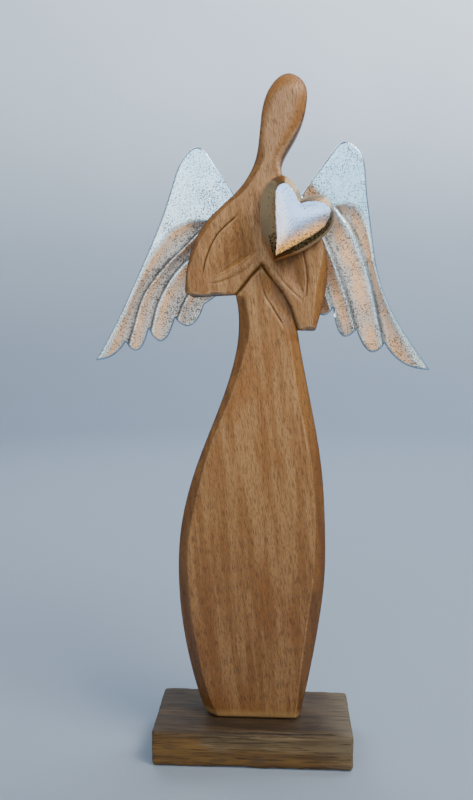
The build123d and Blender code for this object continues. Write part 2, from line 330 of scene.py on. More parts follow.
def triangulated(outline, spacing, rings=(), creases=()):
    """Points inside an outline, the triangles that join them, and the numbers of the outline's own points.
    Rings are distances in from the outline that get points too, and creases are lines that do."""
    low, high = outline.min(0), outline.max(0)
    grid = []
    for k, z in enumerate(np.arange(low[1], high[1], spacing * ROW)):
        x = np.arange(low[0] + k % 2 * spacing / 2, high[0], spacing)
        grid.append(np.column_stack([x, np.full(len(x), z)]))
    points = np.vstack(grid)
    points = points[inside(points, outline)]
    points = points[nearest(points, closed(outline))[0] > spacing * 0.55 + max(rings, default=0)]
    for ring in rings:
        rim = outline + inward(outline) * ring
        points = np.vstack([points, rim[nearest(rim, closed(outline))[0] > ring * 0.9]])
    for crease in creases:
        kept = crease[inside(crease, outline)]
        kept = kept[nearest(kept, closed(outline))[0] > spacing * 0.3]
        points = points[nearest(points, crease)[0] > spacing * 0.35]
        points = np.vstack([points, kept])
    everything = [Vector(p) for p in np.vstack([outline, points])]
    loop = list(range(len(outline)))
    places, _, faces, origins, _, _ = delaunay_2d_cdt(everything, [], [loop], 1, 1e-5)
    of_outline = {first: new for new, old in enumerate(origins) for first in old if first < len(outline)}
    return np.array([tuple(p) for p in places]), faces, [of_outline[k] for k in loop]


def softened(values, faces, rounds):
    """Each value eased towards the average of its neighbours, as sanding does to a crisp edge."""
    edges = np.array([(f[k], f[k - 1]) for f in faces for k in range(len(f))])
    count = np.bincount(edges.ravel(), minlength=len(values))
    for _ in range(rounds):
        total = np.bincount(edges[:, 0], values[edges[:, 1]], len(values))
        total += np.bincount(edges[:, 1], values[edges[:, 0]], len(values))
        values = (values + total / np.maximum(count, 1)) / 2
    return values


square = np.array([(0, 0), (10, 0), (10, 10), (0, 10)], float)
print("a 10 mm square takes", len(triangulated(square, 1.0)[0]), "points")

# %% [markdown]
# Each point of the front is then sunk by the depth of the carving there, and walls and a flat back close
# the piece. Some values are kept on the mesh as named attributes, because the finishes need them: where it
# is carved, where two faces meet in a ridge or a crevice, and how near the sawn edge is.

# %% Carved plate
SMOOTH_BELOW = 50  # degrees: a sharper edge than this stays crisp


def outward(piece, seam=0.0):
    """Turns all the faces of a mesh outwards, and joins points no further apart than a seam, in metres."""
    shape = bmesh.new()
    shape.from_mesh(piece.data)
    if seam:
        bmesh.ops.remove_doubles(shape, verts=shape.verts, dist=seam)
    bmesh.ops.recalc_face_normals(shape, faces=shape.faces)
    shape.to_mesh(piece.data)
    shape.free()


def keep(piece, shades):
    """Keeps named values on the points of a mesh."""
    for label, values in shades.items():
        full = np.zeros(len(piece.data.vertices))
        full[: len(values)] = values
        piece.data.attributes.new(label, "FLOAT", "POINT").data.foreach_set("value", full)


def flat_back(edge, spacing, back, pocket):
    """The flat back of a plate: its points, faces and rim. A pocket is a round hole in it: its centre, radius
    and depth."""
    circles = []
    if pocket:
        turn = np.linspace(0, 2 * math.pi, 48, endpoint=False)[:, None]
        circle = np.column_stack([np.cos(turn), np.sin(turn)])
        circles = [np.vstack([pocket[0] + (pocket[1] + wider) * circle for wider in (0.7, 0.0, -0.12)])]
    cap, faces, rim = triangulated(edge, spacing, creases=circles)
    y = np.full(len(cap), back)
    if pocket:
        y[np.linalg.norm(cap - pocket[0], axis=1) < pocket[1] - 0.06] -= pocket[2]
    return np.column_stack([cap[:, 0], y, cap[:, 1]]) * MM, faces, rim


def carved_plate(name, outline, spacing, front, back, back_edge, depth, rings=(0.5,), creases=(), pocket=None):
    """A closed piece with this outline, from front to back. depth(points, from the edge) says how far the
    front is sunk and gives the shades to keep on the mesh."""
    points, front_faces, last = triangulated(outline, spacing, rings, creases)
    from_edge = nearest(points, closed(outline))[0]
    sunk, shades = depth(points, from_edge)
    soft = softened(sunk, front_faces, 1)
    count = len(outline)
    start = front + soft[last]
    vertices = [(x * MM, (front + d) * MM, z * MM) for (x, z), d in zip(points, soft)]
    faces = [tuple(f) for f in front_faces]
    for share in (0.34, 0.67, 1.0):
        row = list(range(len(vertices), len(vertices) + count))
        y = start + (back - back_edge - start) * share
        vertices += [(x * MM, level * MM, z * MM) for (x, z), level in zip(outline, y)]
        faces += [(last[k], last[k - 1], row[k - 1], row[k]) for k in range(count)]
        last = row
    base = len(vertices)
    cap, cap_faces, cap_rim = flat_back(outline + inward(outline) * back_edge, spacing * 6, back, pocket)
    vertices += [tuple(point) for point in cap]
    faces += [tuple(base + k for k in f[::-1]) for f in cap_faces]
    faces += [(last[k], last[k - 1], base + cap_rim[k - 1], base + cap_rim[k]) for k in range(count)]
    piece = mesh_piece(name, vertices, faces)
    shades["crest"] = softened(soft, front_faces, 2) - soft
    shades["edge"] = np.append(ease(1.5, 0.2, from_edge), np.ones(base - len(points)))
    keep(piece, shades)
    outward(piece)
    piece.data.shade_smooth()
    piece.data.set_sharp_from_angle(angle=math.radians(SMOOTH_BELOW))
    print(name, len(vertices), "points,", "deepest cut", round(float(soft.max()), 2), "mm")
    return piece


def fit(piece, slot, *nodes):
    """Puts a piece in the place of the measured ones that it stands for."""
    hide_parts(*nodes)
    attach(piece, "root")


# %% [markdown]
# ## The figure
#
# A carver pencils the flat front of the skirt and of the arms on the plank, then planes a bevel from each
# pencil line down to the sawn edge. So the two flat faces are drawn here, and the depth outside them grows
# with the distance from them.

# %% Pencil lines of the figure
ARMPIT_LEFT, ARMPIT_RIGHT = (-18.8, -20.5), (25.5, -45.5)
SKIRT_LEFT = [
    (-31.5, -339.5), (-39.9, -319.7), (-47.0, -288.0), (-52.2, -254.5), (-54.3, -216.5), (-51.2, -186.5),
    (-38.9, -136.5), (-21.6, -92.5), (-14.1, -69.5), (-9.0, -51.5), (-8.6, -38.0), (-11.5, -23.5),
    (-17.0, -19.5),
]
SKIRT_TOP = [(-9.5, -11.0), (-0.8, -1.6), (-0.3, -9.6), (2.1, -19.7), (7.2, -28.3)]
SKIRT_RIGHT = [
    (11.6, -35.6), (18.9, -47.0), (22.7, -71.5), (27.1, -97.5), (36.1, -140.5), (39.4, -178.0),
    (38.9, -227.5), (35.7, -254.5), (29.6, -308.7), (26.5, -339.5),
]
SLEEVE_LEFT = [
    (-19.5, -18.5), (-36.0, -19.6), (-47.5, -19.5), (-51.5, -16.0), (-52.3, -6.0), (-50.0, 3.0),
    (-45.0, 15.0), (-37.0, 28.0), (-26.0, 40.0), (-14.0, 50.0), (-6.0, 60.0), (-1.0, 68.0),
]
HEAD = [
    (1.9, 74.3), (2.4, 84.3), (3.0, 92.7), (4.6, 100.9), (6.9, 108.6), (10.0, 115.7), (15.0, 120.2),
    (19.5, 120.2), (21.6, 115.6), (20.6, 109.0), (18.4, 101.9), (15.4, 95.3), (12.1, 88.7), (9.9, 83.1),
    (8.7, 77.6), (8.9, 73.0),
]
SLEEVE_RIGHT = [
    (10.2, 67.0), (16.0, 54.0), (32.0, 34.0), (41.3, 17.2), (42.2, 7.3), (40.2, -4.0), (38.2, -15.4),
    (36.9, -27.6), (36.0, -43.0),
]
ARMS_BELOW = [
    (27.8, -43.5), (23.2, -30.0), (17.0, -18.0), (9.6, -8.0), (2.6, 2.0), (-0.4, 4.0), (-8.6, -4.6),
    (-14.4, -11.8),
]
JAW = [
    (30.5, 109.0), (29.0, 105.0), (26.5, 98.4), (21.9, 92.3), (17.9, 86.8), (13.9, 81.2), (11.1, 76.7),
    (9.9, 73.0), (9.9, 70.0), (11.1, 66.6), (13.6, 62.5),
]

skirt_face = np.vstack([curve(marks(SKIRT_LEFT)), curve(marks(SKIRT_TOP)), curve(marks(SKIRT_RIGHT))])
arms_face = np.vstack([curve(marks(SLEEVE_LEFT + HEAD + SLEEVE_RIGHT)), marks(ARMS_BELOW)])
jaw_line = curve(marks(JAW))
print("pencil lines", len(skirt_face), len(arms_face), "points")

# %% [markdown]
# The arms are told apart by V grooves along the forearms, by finer cuts, and by two scooped hollows. A
# hollow is the lowest of the planes that sink from its edges, each with a slope of its own, as a gouge
# leaves it.

# %% Cuts of the figure
shoulder = curve(marks([
    (-14.6, 37.9), (-29.0, 25.3), (-34.8, 17.5), (-38.9, 8.3), (-41.5, -1.0), (-42.4, -9.5),
]))
forearm = curve(marks([
    (-42.4, -10.5), (-34.2, -8.1), (-23.3, -3.2), (-14.6, 1.8), (-7.4, 7.5), (-2.0, 15.5),
]))
forearm_fold = curve(marks([
    (-41.5, -12.0), (-33.5, -11.6), (-24.0, -8.6), (-14.5, -3.8), (-7.5, 2.0), (-3.5, 8.0),
]))
chest = curve(marks([(-2.0, 16.0), (-14.6, 37.9)]))
cuff = curve(marks([(8.5, 0.3), (14.3, -9.7), (18.7, -14.7), (23.1, -19.0), (30.0, -25.5)]))
upper_arm = curve(marks([(30.2, -25.0), (31.7, -17.6), (31.6, -4.0), (28.9, 10.2), (27.0, 17.0)]))
under_heart = curve(marks([(27.0, 17.0), (12.0, 8.0), (8.5, 0.3)]))
left_groove = curve(marks([ARMPIT_LEFT, (-13.2, -13.9), (-7.4, -6.7), (-0.2, 0.8)]))
right_groove = curve(marks([(-0.2, 0.8), (7.1, -9.6), (14.4, -19.0), (20.3, -29.8), ARMPIT_RIGHT]))
skirt_fold = curve(marks([(-0.3, -9.6), (2.1, -19.7), (7.2, -28.3), (11.6, -35.6), (18.0, -45.5)]))

GROOVES = [(left_groove, 2.8, 1.6), (right_groove, 3.8, 1.7)]  # line, depth and half width in mm
CUTS = [(shoulder, 2.0), (forearm, 1.0), (cuff, 1.3), (upper_arm, 1.6)]  # line and depth
FOLDS = [(skirt_fold, 2.0), (forearm_fold, 0.9)]
SCOOP, SCOOP_DEPTH = [(shoulder, 0.24), (forearm, 0.95), (chest, 0.32)], 4.8  # edges with their slopes
WEDGE, WEDGE_DEPTH = [(cuff, 0.42), (upper_arm, 0.50), (under_heart, 0.8)], 4.5


def v_cut(points, line, depth, width, fade=0.0):
    """The depth of a V-shaped cut along a line, which fades out at both of its ends."""
    distance, _, along = nearest(points, line)
    ends = np.minimum(along, 1 - along)
    return depth * np.clip(1 - distance / width, 0, 1) * (np.clip(ends / fade, 0.15, 1) if fade else 1)


def hollow(points, slopes, cap):
    """The depth of a scooped hollow, no deeper than its cap."""
    loop = np.vstack([line for line, _ in slopes])
    sunk = np.full(len(points), cap)
    for line, slope in slopes:
        sunk = np.minimum(sunk, slope * nearest(points, line)[0])
    return np.where(inside(points, loop), sunk, 0)


print("grooves", len(GROOVES), "cuts", len(CUTS), "folds", len(FOLDS))

# %% [markdown]
# The depth of the whole front is put together in the order that the carver works: bevels, hollows, grooves,
# fine cuts and folds, the facet under the jaw, then sanding. Beside it goes a tint from 0 to 1, which says how
# freshly the tool has cut through the old surface there, and which also carries painted shade: deeper in the
# hollows, grooves and cuts, and a dark line along the jaw, whose facet is left pale as painted light.

# %% Depth of the figure
SKIRT_BEVEL, ARM_BEVEL, JAW_FACET = 0.75, 0.70, 1.3  # slopes, as depth over distance
HEM_EASE, HEM_HEIGHT = 1.0, 3.0
ROUNDED_EDGE = 0.8
RIPPLE = 0.10  # the waves that hand sanding leaves


def bevels(points):
    """The two bevels and their tint. The head is rounder than the rest, and the skirt's bevel dies out beside
    the right forearm."""
    vee = np.vstack([left_groove, right_groove[1:]])
    below = points[:, 1] < np.interp(points[:, 0], *vee.T)
    skirt = nearest(points, closed(skirt_face))[0]
    arms = nearest(points, closed(arms_face))[0]
    skirt[inside(points, skirt_face)] = 0
    arms[inside(points, arms_face)] = 0
    beside_groove = ease(6, 0, nearest(points, right_groove)[0] - 2)
    head = ease(66, 86, points[:, 1] - NAVEL[1])
    rounder = arms * (1 - head) + head * arms**2 / (arms + 3.0)
    sunk = np.where(below, SKIRT_BEVEL * (1 - 0.45 * beside_groove) * skirt, ARM_BEVEL * rounder)
    away = np.where(below, skirt * (1 - 0.7 * beside_groove), arms)
    # The tint on the bevels is partly cut grain drinking oil and partly painted shade on faces that slope
    # away.
    return sunk, ease(0.1 - 3.0 * head, 0.9 + 5.5 * head, away)


def figure_depth(points, from_edge):
    """How far the front of the figure is sunk at these points, and the tint there."""
    sunk, tint = bevels(points)
    scoop = hollow(points, SCOOP, SCOOP_DEPTH)
    wedge = hollow(points, WEDGE, WEDGE_DEPTH)
    sunk = np.maximum.reduce([sunk, scoop, wedge])
    # Painted shade: the hollows are tinted darker as they deepen.
    tint = np.maximum.reduce([tint, 0.9 * ease(0.4, 4.0, scoop), 0.75 * ease(0.4, 4.0, wedge)])
    # Painted shade: the tint deepens in the grooves, cuts and folds.
    for line, deep, width in GROOVES:
        groove = v_cut(points, line, deep, width)
        tint = np.maximum(tint, 0.8 * ease(0.5, 2.5, groove))
        sunk = np.maximum(sunk, groove)
    for line, deep in CUTS:
        cut = v_cut(points, line, deep, 1.0, 0.15)
        sunk = np.maximum(sunk, cut)
        tint = np.maximum(tint, 0.7 * ease(0.4, 1.6, cut))
    for line, deep in FOLDS:
        fold = v_cut(points, line, deep, 1.0, 0.2)
        sunk = sunk + fold
        tint = np.maximum(tint, 0.8 * ease(0.2, 0.8, fold))
    away, side, along = nearest(points, jaw_line)
    beside_jaw = (along > 0.001) & (along < 0.999)
    beyond = (side > 0) & (away < 9) & beside_jaw
    sunk = np.where(beyond, sunk + JAW_FACET * away, sunk)
    # Painted light and shade: the facet beyond the jaw is left untinted so it stays pale, and a dark line is
    # painted along the jaw.
    tint = np.where(beyond, 0.0, tint)
    tint = np.where((side <= 0) & beside_jaw, np.maximum(tint, ease(5.0, 0.5, away)), tint)
    sunk += HEM_EASE * np.clip(1 - (points[:, 1] - BLOCK_TOP) / HEM_HEIGHT, 0, 1) ** 1.5
    sunk += ROUNDED_EDGE * (1 - np.sqrt(1 - (1 - np.clip(from_edge / ROUNDED_EDGE, 0, 1)) ** 2))
    wave = np.array([noise.noise(Vector((x / 22, 0.3, z / 60))) for x, z in points])
    return sunk + RIPPLE * (wave + 0.6), {"carved": tint}


# %% [markdown]
# The heart is held by a screw from behind, whose washer sits in a pocket in the plank's back, so the pocket
# is cut where the washer is.

# %% Figure
low, high = corners("figure")
creases = [skirt_face, arms_face, jaw_line]
for line, _, _ in GROOVES:
    creases += [offset(line, -1.6), offset(line, 1.6), offset(line, -0.8), offset(line, 0.8), line]
for line in (shoulder, forearm, cuff, upper_arm, skirt_fold, forearm_fold):
    creases += [offset(line, -0.9), offset(line, 0.9), line]
washer_low, washer_high = corners("heart_washer")
washer_radius = (washer_high[0] - washer_low[0]) / 2
pocket = ((washer_low + washer_high)[[0, 2]] / 2, washer_radius + 0.25, high[1] - washer_low[1])
plank = outline_of("figure", 5.0, 1.1)
figure = carved_plate("figure_carved", plank, 1.15, low[1], high[1], 1.2, figure_depth,
                      creases=creases, pocket=pocket)
fit(figure, "carved_wood", "figure")

# %% [markdown]
# ## Finishes
#
# Each finish is built from what the real one is. Colours are written as a paint maker would, as sRGB hex,
# and one function turns them into the linear light that the shader adds up. Patterns are sized in
# millimetres. A colour is a base with coats on it, and each coat has a mask that says where it lies and how
# thickly.

# %% Paint box


def linear(code):
    """An sRGB hex colour as linear light."""
    channels = [int(code[k : k + 2], 16) / 255 for k in (1, 3, 5)]
    return [c / 12.92 if c <= 0.04045 else ((c + 0.055) / 1.055) ** 2.4 for c in channels] + [1.0]


def add(tree, kind, inputs=(), out=None, **settings):
    """A new node with these settings. Its inputs are values, hex colours or other nodes' sockets, by name or
    in order. It returns the output of this name, or the first one."""
    node = tree.nodes.new(kind)
    for key, value in settings.items():
        setattr(node, key, value)
    if isinstance(inputs, dict):
        pairs = [(node.inputs[name], value) for name, value in inputs.items()]
    else:
        pairs = list(zip([socket for socket in node.inputs if socket.enabled], inputs))
    for socket, value in pairs:
        if isinstance(value, bpy.types.NodeSocket):
            tree.links.new(value, socket)
        else:
            socket.default_value = linear(value) if isinstance(value, str) else value
    return node.outputs[out] if out else next((socket for socket in node.outputs if socket.enabled), None)


def blank_finish(name):
    """A new material and its node tree, still empty."""
    material = bpy.data.materials.new(name)
    material.use_nodes = True
    material.node_tree.nodes.clear()
    return material, material.node_tree


def surface(tree, colour, roughness, height=None, strength=0.0, depth=0.0, **fixed):
    """Joins the patterns to the shader. Height is the one that shades as bumps, this many millimetres deep."""
    inputs = {"Base Color": colour, "Roughness": roughness, **fixed}
    if height:
        bumps = {"Height": height, "Strength": strength, "Distance": depth * MM}
        inputs["Normal"] = add(tree, "ShaderNodeBump", bumps)
    add(tree, "ShaderNodeOutputMaterial", {"Surface": add(tree, "ShaderNodeBsdfPrincipled", inputs)})


def grain(tree, size, turn=0.0, detail=2.0, roughness=0.55, shift=0.0):
    """Noise whose spots are this many millimetres along X, Y and Z, on the piece's own coordinates."""
    place = add(tree, "ShaderNodeTexCoord", out="Object")
    place = add(tree, "ShaderNodeMapping", {"Vector": place, "Rotation": (0, math.radians(turn), 0)})
    scaled = add(tree, "ShaderNodeVectorMath", (place, [1 / (s * MM) for s in size]), operation="MULTIPLY")
    moved = add(tree, "ShaderNodeVectorMath", (scaled, (shift, shift, shift)), operation="ADD")
    pattern = {"Vector": moved, "Scale": 1.0, "Detail": detail, "Roughness": roughness, "Distortion": 0.0}
    return add(tree, "ShaderNodeTexNoise", pattern)


def kept_shades(tree, *names):
    """The values that were kept on the mesh under these names."""
    return [add(tree, "ShaderNodeAttribute", out="Fac", attribute_name=name) for name in names]


def coated(tree, colour, coats):
    """A colour with coats on it: (mask, limits, strength, coat) and, for a stain, how it mixes. A coat
    thickens smoothly as its mask goes between its limits, or evenly from 0 to 1 where it has none."""
    for mask, limits, strength, coat, *how in coats:
        low, high = limits or (0.0, 1.0)
        rise = "SMOOTHSTEP" if limits else "LINEAR"
        share = add(tree, "ShaderNodeMapRange", (mask, low, high, 0.0, strength), interpolation_type=rise)
        mixing = how[0] if how else "MIX"
        colour = add(tree, "ShaderNodeMix", (share, colour, coat), data_type="RGBA", blend_type=mixing)
    return colour


def sums(tree, terms, rows):
    """Works out rows of (name, operation, terms) in order; a term is a number or an earlier row's name. STEP
    goes smoothly from its fourth term to its fifth as the first goes from the second to the third."""
    for name, operation, *row in rows:
        values = [terms.get(term, term) for term in row]
        if operation == "STEP":
            terms[name] = add(tree, "ShaderNodeMapRange", values, interpolation_type="SMOOTHSTEP")
        else:
            terms[name] = add(tree, "ShaderNodeMath", values, operation=operation)
    return terms


print("white is", linear("#ffffff"))

# %% [markdown]
# Mango wood is a pinkish tan with short dark flecks, its open pores, and warmer patches where the plank
# took up more oil. Where the chisel has cut across the grain it drinks more oil and goes orange brown, and
# the same tint carries painted shade on the bevels and in the hollows, grooves and cuts. Ridges where two
# faces meet get a painted highlight with some rubbed wear, and crevices get painted shade. The carving's
# tint is kept on the mesh, so the colour can follow the cuts.

# %% Oiled mango wood
FLECK, FLECK_LENGTH = 0.72, 8.0  # mm; real pores are nearer 0.3 mm wide, and wouldn't show at this distance
GRAIN_LEAN = 9.0  # degrees
RING_LIMITS = (0.36, 0.64)


def mango_wood():
    """Sawn, carved, sanded and oiled mango: a half-matt surface with open pores."""
    material, tree = blank_finish("oiled_mango_wood")
    pores = grain(tree, (FLECK, FLECK, FLECK_LENGTH), GRAIN_LEAN, roughness=0.65)
    fine = grain(tree, (FLECK * 0.6, FLECK * 0.6, FLECK_LENGTH * 0.35), GRAIN_LEAN, shift=11.0)
    rings = grain(tree, (5.0, 5.0, 80.0), GRAIN_LEAN - 3, detail=3.0, shift=7.0)
    patches = grain(tree, (22.0, 22.0, 60.0), GRAIN_LEAN, detail=3.0, shift=3.0)
    cut, crest, edge = kept_shades(tree, "carved", "crest", "edge")
    place = add(tree, "ShaderNodeTexCoord", out="Object")
    height = add(tree, "ShaderNodeSeparateXYZ", (place,), out="Z")
    oiled = coated(tree, "#8a5a1c", [
        (rings, RING_LIMITS, 1.0, "#6e430f"),
        (height, (0.44, 0.46), 0.8, "#8e5814"),  # the head
    ])
    hem = BLOCK_TOP * MM
    colour = coated(tree, "#ab7f4d", [
        (rings, RING_LIMITS, 1.0, "#91622f"),
        (patches, (0.50, 0.70), 0.75, "#8f5a20"),
        # Painted light and shade: lighter towards the head and darker towards the foot.
        (height, (0.40, 0.47), 0.45, "#bd9a76"),
        # The cut tint: partly oil in cut grain, partly painted shade on bevels, hollows, grooves and along the
        # jaw.
        (cut, None, 0.85, oiled),
        (fine, (0.52, 0.36), 0.45, "#5d3d1c"),
        (pores, (0.50, 0.38), 0.60, "#4f3216"),
        (height, (0.30, 0.05), 0.42, "#6a4814", "MULTIPLY"),  # painted shade: darker towards the foot
        (height, (hem + 0.009, hem + 0.003), 0.6, "#9a7848"),  # painted highlight along the hem
        # Painted shade along the rounded sawn edge and on the sides.
        (edge, (0.2, 1.0), 0.35, "#4a2f14"),
        # Painted highlight with some rubbed wear on the ridges, and painted shade in the crevices.
        (crest, (0.05, 0.20), 0.35, "#b8946a"),
        (crest, (-0.08, -0.35), 0.75, "#33200f"),
    ])
    terms = sums(tree, {"pores": pores}, [
        ("gloss", "STEP", "pores", 0.3, 0.6, 0.66, 0.46),
        ("relief", "STEP", "pores", 0.36, 0.50, 0.0, 1.0),
    ])
    surface(tree, colour, terms["gloss"], terms["relief"], 0.7, 0.2, IOR=1.5)
    return material


figure.data.materials.append(mango_wood())
print(figure.name, "is made of", figure.data.materials[0].name)

# %% [markdown]
# ## The wings
#
# The wings are flat sand castings. The upper half is plain, and below a soft lip the feathers overlap like
# roof tiles: each starts as a bright ridge on the side of the body and sinks towards the foot of the next.
# So the depth at a point depends only on how far it lies from the ridge above it and from the groove below
# it.

# %% Lines of the feathers
LIP_LEFT = [
    (-30.0, 33.0), (-49.1, 34.7), (-58.4, 33.2), (-69.3, 27.9), (-78.0, 17.0), (-86.5, 4.0), (-97.0, -18.0),
    (-112.0, -48.0), (-124.0, -70.0),
]
GROOVES_LEFT = [
    [(-30.0, 42.0), (-45.4, 29.0), (-58.6, 16.2), (-72.0, 3.3), (-82.0, -8.5), (-91.1, -22.7), (-98.2, -44.7),
     (-103.5, -62.0)],
    [(-36.0, 23.0), (-53.2, 8.7), (-61.0, 2.2), (-69.9, -8.6), (-77.8, -22.7), (-81.8, -33.7), (-86.5, -55.0)],
    [(-40.0, 2.0), (-53.4, -15.1), (-59.0, -24.0), (-63.0, -33.0), (-67.5, -46.0)],
]
LIP_RIGHT = [
    (40.0, 38.0), (52.6, 44.2), (59.3, 46.3), (67.5, 45.0), (73.5, 38.0), (78.0, 26.0), (83.5, -2.0),
    (95.5, -34.0), (113.0, -62.0), (123.0, -75.0),
]
GROOVES_RIGHT = [
    [(40.0, 58.0), (53.5, 43.2), (67.1, 24.4), (76.5, 2.2), (83.8, -24.7), (91.5, -60.0)],
    [(36.0, 38.0), (46.3, 20.1), (57.2, -5.2), (65.1, -27.7), (71.0, -50.0)],
    [(40.0, 4.0), (46.8, -15.6), (53.0, -32.0)],
]
print("feathers on each wing:", 1 + len(GROOVES_LEFT), "and", 1 + len(GROOVES_RIGHT))

# %% [markdown]
# Beside the depth go three shades for the finish: how far below the plain skin a point lies, where a painted
# warm reflection lies on the side of the feather that faces the warm light, and how near it is to the foot of
# the next feather, where shade is painted.

# %% Wings
FEATHER_RELIEF, RIDGE_WALL, LAST_FEATHER = 2.6, 1.5, 11.0  # mm
WING_EDGE, WING_RIPPLE = 1.1, 0.14


def longer(line, reach=40.0):
    """The same line carried straight on at both of its ends, so that it has two clear sides."""
    first, last = line[0] - line[2], line[-1] - line[-3]
    start = line[0] + reach * first / np.linalg.norm(first)
    end = line[-1] + reach * last / np.linalg.norm(last)
    return np.vstack([start, line, end])


def feather_depth(lip, grooves, hand):
    """The depth function of a wing; hand is +1 for the left one and -1 for the right one."""
    lines = [longer(curve(marks(line))) for line in [lip] + grooves]

    def depth(points, from_edge):
        away, side, _ = zip(*(nearest(points, line) for line in lines))
        sunk, warm_reflection, groove_shade = np.zeros(len(points)), np.zeros(len(points)), np.zeros(len(points))
        for k in range(len(lines)):
            below = side[k] * hand > 0
            last = k + 1 == len(lines)
            width = np.full(len(points), 20.0) if last else away[k] + away[k + 1]
            share = np.clip(away[k] / LAST_FEATHER, 0, 1) if last else away[k] / np.maximum(width, 1e-6)
            relief = FEATHER_RELIEF * np.clip(width / 8, 0.15, 1)
            tile = relief * (0.5 - 0.5 * np.cos(math.pi * np.clip(share, 0, 1) ** 0.8))
            wall = ease(0, RIDGE_WALL, away[k]) if k else 1
            sunk = np.where(below, sunk * (1 - wall) + tile * wall if k else tile, sunk)
            # Painted warm reflection on the side of the feather that faces the warm light.
            shine = ease(0.8, 0.25, share) if hand > 0 else ease(0.1, 0.45, share) * ease(1.0, 0.6, share)
            warm_reflection = np.where(below, shine * wall, warm_reflection)
            # Painted shade near the groove at the foot of the next feather.
            groove_shade = np.where(below, 0 if last else ease(3.2, 0.6, away[k + 1]) * wall, groove_shade)
        sunk += WING_EDGE * (1 - np.sqrt(1 - (1 - np.clip(from_edge / WING_EDGE, 0, 1)) ** 2))
        wave = np.array([noise.noise(Vector((x / 14, 5.3, z / 14))) for x, z in points])
        within = from_edge > WING_EDGE
        shades = {"carved": ease(0.05, 0.8, sunk) * within, "warm_reflection": warm_reflection, "groove_shade": groove_shade * within}
        return sunk + WING_RIPPLE * (wave + 0.8), shades

    return depth


def make_wing(side, lip, grooves, hand):
    """One wing, with the walls of its grooves under lines of points."""
    node = f"wing_{side}"
    low, high = corners(node)
    creases = []
    for groove in (curve(marks(line), 0.8) for line in grooves):
        creases += [offset(groove, hand * RIDGE_WALL), offset(groove, hand * RIDGE_WALL / 2), groove]
    wing = carved_plate(f"{node}_cast", outline_of(node, high[1] - 1, 0.8), 0.85, low[1], high[1], 0.8,
                        feather_depth(lip, grooves, hand), rings=(0.35, 0.8), creases=creases)
    fit(wing, "cast_aluminium", node)
    return wing


wings = [make_wing("left", LIP_LEFT, GROOVES_LEFT, 1), make_wing("right", LIP_RIGHT, GROOVES_RIGHT, -1)]

# %% [markdown]
# Sand leaves a casting grainy. Polishing takes the tops of the grains to a mirror and leaves the pits dark,
# so the metal glitters. Where the wheel didn't reach, below the lip, the skin of the casting is left, which
# is greyer and rougher. Light is painted in as well: a sky blue tint and darker edges as painted reflection,
# a warm peach painted reflection on the side of each feather that faces the warm light, and painted shade at
# the foot of each feather.

# %% Polished sand-cast aluminium
PIT_SIZE = 0.95  # mm; real pits are about half as wide, and are drawn coarser so that they show
PITTED, PIT_SLOPE = 0.445, 0.05
PEAK_GLOSS, SKIN_GLOSS = 0.20, 0.36


def cast_metal():
    """Sand-cast aluminium, ground and tumbled until it shines between its pits."""
    material, tree = blank_finish("polished_sand_cast_aluminium")
    pits = grain(tree, (PIT_SIZE, PIT_SIZE, PIT_SIZE), detail=1.0, roughness=0.6)
    clusters = grain(tree, (11.0, 11.0, 14.0), shift=4.0)
    waves = grain(tree, (9.0, 9.0, 20.0), detail=1.0, shift=9.0)
    skin, warm_reflection, groove_shade, edge = kept_shades(tree, "carved", "warm_reflection", "groove_shade", "edge")
    terms = {"pits": pits, "clusters": clusters, "waves": waves, "skin": skin, "warm_reflection": warm_reflection}
    sums(tree, terms, [
        ("crowding", "STEP", "clusters", 0.35, 0.65, -0.05, 0.04),
        ("crowded", "SUBTRACT", "pits", "crowding"),
        ("on skin", "STEP", "skin", 0.0, 1.0, 0.0, 0.03),
        ("skinned", "SUBTRACT", "crowded", "on skin"),
        ("in glow", "MULTIPLY", "warm_reflection", 0.035),
        ("level", "ADD", "skinned", "in glow"),
        ("pit", "STEP", "level", PITTED, PITTED - PIT_SLOPE, 0.0, 1.0),
        ("patches", "STEP", "waves", 0.30, 0.55, 0.35, 1.0),
        ("warmth", "MULTIPLY", "warm_reflection", "patches"),
        ("pit gloss", "STEP", "pit", 0.0, 1.0, 0.0, 0.3),
        ("skin gloss", "STEP", "skin", 0.0, 1.0, PEAK_GLOSS, SKIN_GLOSS),
        ("gloss", "ADD", "pit gloss", "skin gloss"),
    ])
    # Painted reflection: a warm peach on the side of each feather that faces the warm light.
    warm = coated(tree, "#cfcdc9", [(terms["warmth"], None, 1.0, "#fbcb98")])
    # Painted reflection: the metal's base is tinted sky blue.
    colour = coated(tree, "#cdebfb", [
        (skin, (0.0, 1.0), 0.9, warm),
        # Painted shade at the foot of each feather, in its groove.
        (groove_shade, None, 0.8, "#7f7a74"),
        # Painted reflection of the dark surroundings on the rounded edges and sides.
        (edge, None, 0.45, "#7688a0"),
        (terms["pit"], None, 0.75, "#4a4643"),
    ])
    surface(tree, colour, terms["gloss"], pits, 0.5, 0.3, Metallic=1.0)
    return material


wing_metal = cast_metal()
for wing in wings:
    wing.data.materials.append(wing_metal)
print("wings are made of", wing_metal.name)

# %% [markdown]
# ## The heart
#
# The heart is a thick casting: a rim that stands square on the chest, a broad slope, and a slightly domed
# face whose point lies off to one side, so that the slopes at the left and the lower right are much wider.
# It is built as rings that pass from the outline to the outline of the face, with a domed cap inside the
# last one.

